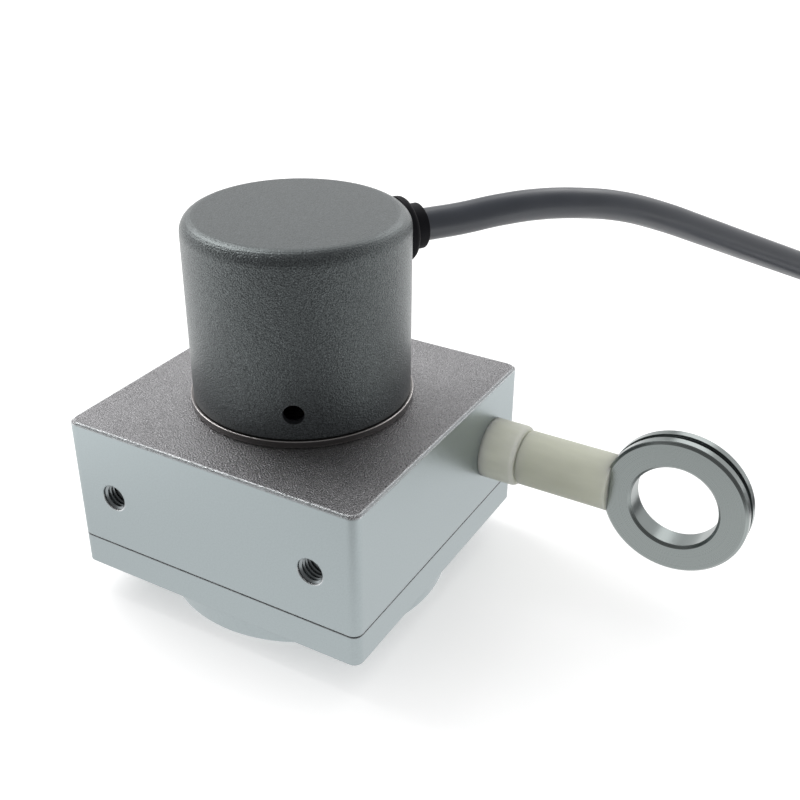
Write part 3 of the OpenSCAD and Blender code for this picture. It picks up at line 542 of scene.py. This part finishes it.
def coded_film():
    """Clear film disc with a ring of fine dark code lines."""
    colour = srgb(215, 224, 228)
    made = Finish("coded_film", colour, roughness=0.12)
    parts = made.add("ShaderNodeTexGradient", gradient_type="RADIAL")
    made.join(made.place, parts.inputs["Vector"])
    lines = made.add("ShaderNodeMath", operation="PINGPONG")
    lines.inputs[1].default_value = 1 / 256
    made.join(parts.outputs["Fac"], lines.inputs[0])
    made.colour(made.ramp(made.spread(lines.outputs["Value"], 0, 1, 0, 1 / 256),
                          shade(colour, 0.12), colour, 0.45, 0.55))
    made.set(**{"Coat Weight": 0.6, "Coat Roughness": 0.05})
    return made.material


FINISHES = {
    # The housing's aluminium has the painted highlight on its upper edges
    "housing_metal": blasted_aluminium("highlit_aluminium", painted_edge_highlight=1),
    "cover_metal": blasted_aluminium("blasted_aluminium"),
    "encoder_paint": encoder_paint(),
    "flange_metal": turned_metal("turned_flange", srgb(122, 119, 118), 0.3, edge=0.0003),
    "collar_plastic": cream_plastic("collar_plastic", srgb(205, 207, 193)),
    "bumper_plastic": cream_plastic("bumper_plastic", srgb(188, 190, 175)),
    "ring_metal": turned_ring(),
    "grommet_rubber": moulded_rubber(),
    "cable_jacket": cable_jacket(),
    "steel": grained("ground_steel", srgb(160, 164, 167), 1.0, 0.3).material,
    "wire_rope": stranded_steel(),
    "spring_steel": grained("blued_strip", srgb(92, 98, 108), 1.0, 0.3).material,
    "brass": turned_metal("turned_brass", srgb(200, 164, 96), 0.28),
    "ceramic": grained("polished_ceramic", srgb(226, 221, 210), roughness=0.15).material,
    "felt": felt(),
    "board": solder_resist(),
    "black_plastic": grained("black_plastic", srgb(30, 32, 35), roughness=0.5).material,
    "white_plastic": grained("white_plastic", srgb(226, 224, 214), roughness=0.45).material,
    "disc_plastic": coded_film(),
    "lead_insulation": grained("red_insulation", srgb(170, 42, 34), roughness=0.4).material,
    "thread_metal": thread_metal(),
    "tinned_copper": tinned_copper(),
}
for lead, tone in LEAD_COLOURS.items():
    FINISHES["lead_" + lead] = grained(
        lead + "_insulation", srgb(*tone), roughness=0.4).material


# ---------------------------------------------------------------- CAD nodes

def dress_nodes():
    """Every carried-over node takes the finish of its material slot."""
    slots = {part["node"]: part["material_slot"] for part in frame["record"]["subparts"]}
    for name, piece in frame["nodes"].items():
        dress(piece, FINISHES[slots[name]])
    dress(frame["nodes"]["bottom_cover"], FINISHES["cover_metal"])


# ---------------------------------------------------------------- cable

def coil_point(share):
    """The coil's line: inwards on the upper layer, down, and outwards on the lower one."""
    start = Vector(CABLE_ROUTE[-1][:2]) - Vector(COIL_CENTRE)
    begin = math.atan2(start.y, start.x)
    angle = begin - (begin + 2 * math.pi * COIL_TURNS) * share
    turn = share * COIL_TURNS
    half = COIL_TURNS / 2
    radius = COIL_OUTER - (COIL_OUTER - COIL_INNER) * min(turn, COIL_TURNS - turn) / half
    drop = min(max((turn - half) / COIL_DROP + 0.5, 0), 1)
    drop = drop * drop * (3 - 2 * drop)
    height = COIL_LAYERS[0] + (COIL_LAYERS[1] - COIL_LAYERS[0]) * drop
    return (COIL_CENTRE[0] + radius * math.cos(angle),
            COIL_CENTRE[1] + radius * math.sin(angle), height)


def make_cable(leads):
    """One sweep of jacket from the grommet through the coil to the open end."""
    steps = COIL_TURNS * COIL_STEPS
    coil = [coil_point(step / steps) for step in range(1, steps + 1)]
    cable = curve_through("signal_cable", CABLE_ROUTE + coil + CABLE_TAIL,
                          CABLE_DIAMETER / 2, resolution=5, roundness=6)
    dress(cable, FINISHES["cable_jacket"])
    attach(cable, "housing")
    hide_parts("cable", "cable_coil", "cable_tail")
    return cable


# ---------------------------------------------------------------- draw wire

def make_draw_wire():
    """The wire from the drum to the ferrule, cut across at the housing's side, the collar and the
    bumper.
    """
    length = wire_high.x - wire_low.x
    bpy.ops.mesh.primitive_cylinder_add(
        vertices=18, radius=WIRE_DIAMETER / 2, depth=length,
        location=((wire_low.x + wire_high.x) / 2, WIRE_Y, WIRE_Z),
        rotation=(0, math.pi / 2, 0))
    wire = settle(named("laid_wire"))
    select_only(wire)
    bpy.ops.object.mode_set(mode="EDIT")
    for cut in (HALF_SIDE, COLLAR_END, BUMPER_START):
        bpy.ops.mesh.select_all(action="SELECT")
        bpy.ops.mesh.bisect(plane_co=(cut, 0, 0), plane_no=(1, 0, 0))
    bpy.ops.object.mode_set(mode="OBJECT")
    clean_up(wire)
    dress(wire, FINISHES["wire_rope"])
    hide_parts("draw_wire")
    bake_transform(wire)
    return wire


# ---------------------------------------------------------------- bumper

def make_bumper():
    """The sleeve on the wire's end, long enough to land on the collar."""
    landing = COLLAR_END + 0.00005
    end_band = BUMPER_START + 0.001
    saddle_band = BUMPER_END - 0.0015
    select_only(frame["nodes"]["bumper_sleeve"])
    bpy.ops.object.duplicate(linked=False)
    bumper = named("landing_bumper")
    bpy.ops.object.mode_set(mode="EDIT")
    bpy.ops.mesh.select_all(action="SELECT")
    bpy.ops.mesh.remove_doubles(threshold=0.000002)
    bpy.ops.mesh.select_all(action="DESELECT")
    bpy.ops.object.mode_set(mode="OBJECT")
    for vertex in bumper.data.vertices:
        vertex.select = vertex.co.x < end_band
    bpy.ops.object.mode_set(mode="EDIT")
    bpy.ops.transform.translate(value=(landing - BUMPER_START, 0, 0))
    bpy.ops.mesh.select_all(action="SELECT")
    bpy.ops.mesh.dissolve_limited(angle_limit=math.radians(0.3))
    for cut in (end_band, saddle_band):
        bpy.ops.mesh.select_all(action="SELECT")
        bpy.ops.mesh.bisect(plane_co=(cut, 0, 0), plane_no=(1, 0, 0))
    bpy.ops.mesh.customdata_custom_splitnormals_clear()
    bpy.ops.object.mode_set(mode="OBJECT")
    clean_up(bumper)
    dress(bumper, FINISHES["bumper_plastic"])
    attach(bumper, "pull_eye")
    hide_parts("bumper_sleeve")
    return bumper


# ---------------------------------------------------------------- threads in the mounting holes

def make_threads():
    """One cut thread, and its copy in the second hole."""
    crest = HOLE_RADIUS - THREAD_DEPTH
    root = HOLE_RADIUS + 0.00002
    lead_in = 0.0005
    bpy.ops.mesh.primitive_plane_add(size=1)
    thread = named("mounting_thread_left")
    bpy.ops.object.mode_set(mode="EDIT")
    bpy.ops.mesh.select_all(action="SELECT")
    bpy.ops.transform.resize(value=(root - crest, THREAD_PITCH * 0.9, 1))
    bpy.ops.transform.translate(value=((root + crest) / 2, 0, 0))
    bpy.ops.mesh.delete(type="ONLY_FACE")
    bpy.ops.object.mode_set(mode="OBJECT")
    for vertex in thread.data.vertices:
        vertex.select = vertex.co.x < (root + crest) / 2
    bpy.ops.object.mode_set(mode="EDIT")
    bpy.ops.transform.resize(value=(1, 0.2, 1))
    bpy.ops.object.mode_set(mode="OBJECT")
    turn = thread.modifiers.new("turn", "SCREW")
    turn.axis = "Y"
    turn.steps = turn.render_steps = THREAD_STEPS
    turn.iterations = THREAD_TURNS
    turn.screw_offset = THREAD_PITCH
    apply_modifiers(thread)
    bpy.ops.object.mode_set(mode="EDIT")
    bpy.ops.mesh.select_all(action="DESELECT")
    bpy.ops.mesh.select_non_manifold()
    bpy.ops.mesh.edge_face_add()
    bpy.ops.object.mode_set(mode="OBJECT")
    thread.location = (-HOLE_SPACING / 2, lead_in - HALF_SIDE, HOLE_HEIGHT)
    settle(thread)
    clean_up(thread, 40)
    dress(thread, FINISHES["thread_metal"])
    select_only(thread)
    bpy.ops.object.duplicate(linked=False)
    second = named("mounting_thread_right")
    second.location = (HOLE_SPACING, 0, 0)
    settle(second)
    for piece in (thread, second):
        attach(piece, "housing")


# ---------------------------------------------------------------- flying leads

def make_leads():
    """The cable's five cores: coloured insulation, with bare tinned ends."""
    across = TAIL_AHEAD.cross(Vector((0, 0, 1))).normalized()
    strands = []
    for number, (colour, fan) in enumerate(zip(LEAD_COLOURS, LEAD_FAN)):
        slot = (number - (len(LEAD_FAN) - 1) / 2) * (2 * LEAD_RADIUS + 0.0001)
        line = [TAIL_END + TAIL_AHEAD * ahead
                + across * (slot + spread * math.tan(math.radians(fan)))
                - Vector((0, 0, down)) for ahead, spread, down in LEAD_STEPS]
        jacket = curve_through("lead_" + colour, line[:-1], LEAD_RADIUS, 4, 3)
        dress(jacket, FINISHES["lead_" + colour])
        bare = curve_through("bare_" + colour, line[-2:], LEAD_RADIUS * BARE_SHARE, 3, 2)
        dress(bare, FINISHES["tinned_copper"])
        strands += [jacket, bare]
    bpy.ops.object.select_all(action="DESELECT")
    for strand in strands:
        strand.select_set(True)
    bpy.context.view_layer.objects.active = strands[0]
    bpy.ops.object.convert(target="MESH")
    bpy.ops.object.join()
    leads = clean_up(settle(named("flying_leads")), 50)
    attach(leads, "housing")
    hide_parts("lead_wires")
    return leads


# ---------------------------------------------------------------- stage, lamps and camera

# The way from the object towards the lens, along the floor and halfway up
STUDIO_DARK_SIDE = (0.492, -0.871, 0)
STUDIO_DARK_ABOVE = (0.348, -0.616, 0.707)

# The floor's own tone, and what it adds to look white
FLOOR_TONE = 0.82
FLOOR_GLOW = 0.35
# The floor in gloss: its strength under the object and further out, and the share of that
# which is left towards the lens, each with the distances between which it changes
GLOSS_UNDER, GLOSS_FURTHER = 1.14, 1.6
GLOSS_DISTANCES = (0.07, 0.12)
GLOSS_LEFT = 0.16
GLOSS_DARKENING = (0.055, 0.15)

# The world's light, and what is left of its white in gloss above the lens
WORLD_LIGHT = 0.85
WORLD_LEFT = 0.2

CAMERA_PLACE = (0.1050, -0.1492, 0.1368)
CAMERA_LENS = 50.34
CAMERA_HEADING = 29.49
CAMERA_DOWN = 29.22
CAMERA_ROLL = 0.49


def white_to_the_lens(tree):
    """A mask that is 1 for what the lens, a gloss or a clear piece sees, and 0 for light."""
    path = tree.nodes.new("ShaderNodeLightPath")
    total = path.outputs["Is Camera Ray"]
    for other in ("Is Glossy Ray", "Is Transmission Ray"):
        node = tree.nodes.new("ShaderNodeMath")
        node.operation = "MAXIMUM"
        tree.links.new(total, node.inputs[0])
        tree.links.new(path.outputs[other], node.inputs[1])
        total = node.outputs["Value"]
    return total


def measure(tree, vector, operation, way=(0, 0, 0)):
    """The vector's length, or how far it reaches along the way."""
    node = tree.nodes.new("ShaderNodeVectorMath")
    node.operation = operation
    node.inputs[1].default_value = way
    tree.links.new(vector, node.inputs[0])
    return node.outputs["Value"]


def ranged(tree, source, start, end, low, high):
    """A soft step from low to high as the source goes from start to end."""
    node = tree.nodes.new("ShaderNodeMapRange")
    node.interpolation_type = "SMOOTHSTEP"
    for socket, value in zip(("From Min", "From Max", "To Min", "To Max"),
                             (start, end, low, high)):
        node.inputs[socket].default_value = value
    tree.links.new(source, node.inputs["Value"])
    return node.outputs["Result"]


def product(tree, first, second):
    """A node's number times another one, typed or from a node."""
    node = tree.nodes.new("ShaderNodeMath")
    node.operation = "MULTIPLY"
    tree.links.new(first, node.inputs[0])
    if isinstance(second, float):
        node.inputs[1].default_value = second
    else:
        tree.links.new(second, node.inputs[1])
    return node.outputs["Value"]


def make_floor():
    """Pale floor; in gloss it is bright all round and dark towards the lens."""
    bpy.ops.mesh.primitive_plane_add(size=6, location=(0, 0, -0.00002))
    floor = named("floor")
    material = bpy.data.materials.new("pale_floor")
    material.use_nodes = True
    tree = material.node_tree
    shader = tree.nodes["Principled BSDF"]
    shader.inputs["Base Color"].default_value = (FLOOR_TONE, FLOOR_TONE, FLOOR_TONE, 1)
    shader.inputs["Roughness"].default_value = 0.9
    shader.inputs["Specular IOR Level"].default_value = 0
    glow = tree.nodes.new("ShaderNodeEmission")
    tree.links.new(product(tree, white_to_the_lens(tree), FLOOR_GLOW),
                   glow.inputs["Strength"])
    lit = tree.nodes.new("ShaderNodeAddShader")
    tree.links.new(shader.outputs["BSDF"], lit.inputs[0])
    tree.links.new(glow.outputs["Emission"], lit.inputs[1])

    place = tree.nodes.new("ShaderNodeTexCoord").outputs["Object"]
    away = measure(tree, place, "LENGTH")
    nearness = measure(tree, place, "DOT_PRODUCT", STUDIO_DARK_SIDE)
    gloss = tree.nodes.new("ShaderNodeEmission")
    tree.links.new(
        product(tree, ranged(tree, away, *GLOSS_DISTANCES, GLOSS_UNDER, GLOSS_FURTHER),
                ranged(tree, nearness, *GLOSS_DARKENING, 1, GLOSS_LEFT)),
        gloss.inputs["Strength"])
    seen = tree.nodes.new("ShaderNodeMixShader")
    tree.links.new(tree.nodes.new("ShaderNodeLightPath").outputs["Is Glossy Ray"],
                   seen.inputs["Fac"])
    tree.links.new(lit.outputs["Shader"], seen.inputs[1])
    tree.links.new(gloss.outputs["Emission"], seen.inputs[2])
    tree.links.new(seen.outputs["Shader"], tree.nodes["Material Output"].inputs["Surface"])
    dress(floor, material)
    floor.select_set(False)


def make_world():
    """Even light all round; the lens sees white, and gloss sees white, dark above the lens."""
    world = bpy.data.worlds.new("studio")
    world.use_nodes = True
    bpy.context.scene.world = world
    tree = world.node_tree
    background = tree.nodes["Background"]
    background.inputs["Color"].default_value = (1, 1, 1, 1)
    direction = tree.nodes.new("ShaderNodeTexCoord").outputs["Generated"]
    overhead = measure(tree, direction, "DOT_PRODUCT", STUDIO_DARK_ABOVE)
    path = tree.nodes.new("ShaderNodeLightPath")
    gloss, strength = (tree.nodes.new("ShaderNodeMix") for _ in range(2))
    gloss.inputs["A"].default_value = 1.0
    tree.links.new(ranged(tree, overhead, 0.0, 0.6, 1.0, WORLD_LEFT), gloss.inputs["B"])
    tree.links.new(path.outputs["Is Glossy Ray"], gloss.inputs["Factor"])
    strength.inputs["A"].default_value = WORLD_LIGHT
    tree.links.new(gloss.outputs["Result"], strength.inputs["B"])
    tree.links.new(white_to_the_lens(tree), strength.inputs["Factor"])
    tree.links.new(strength.outputs["Result"], background.inputs["Strength"])


def make_lamp(name, place, target, size, power):
    """A soft rectangular lamp at its place, turned to its target."""
    data = bpy.data.lights.new(name, "AREA")
    data.shape = "RECTANGLE"
    data.size, data.size_y = size
    data.energy = power
    lamp = bpy.data.objects.new(name, data)
    lamp.location = place
    lamp.rotation_euler = (Vector(target) - Vector(place)).to_track_quat("-Z", "Y").to_euler()
    bpy.context.scene.collection.objects.link(lamp)


def make_lamps():
    """One softbox up on the left and a weaker one at the back."""
    middle = (0.0, 0.0, 0.03)
    make_lamp("left_softbox", (-0.52, 0.10, 0.68), middle, (0.4, 0.6), 2.9)
    make_lamp("back_softbox", (0.0, 0.75, 0.55), middle, (0.5, 0.4), 0.9)


def make_camera():
    """The lens stands in front on the right and looks down at the object."""
    data = bpy.data.cameras.new("camera")
    data.sensor_width = 36
    data.lens = CAMERA_LENS
    data.clip_start = 0.01
    camera = bpy.data.objects.new("camera", data)
    turn = (Matrix.Rotation(math.radians(CAMERA_HEADING), 4, "Z")
            @ Matrix.Rotation(math.radians(90 - CAMERA_DOWN), 4, "X")
            @ Matrix.Rotation(math.radians(CAMERA_ROLL), 4, "Z"))
    camera.matrix_world = Matrix.Translation(CAMERA_PLACE) @ turn
    bpy.context.scene.collection.objects.link(camera)
    bpy.context.scene.camera = camera
    bpy.context.scene.view_settings.view_transform = "Standard"


make_camera()
dress_nodes()
make_cable(make_leads())
make_draw_wire()
make_bumper()
make_threads()
make_floor()
make_world()
make_lamps()
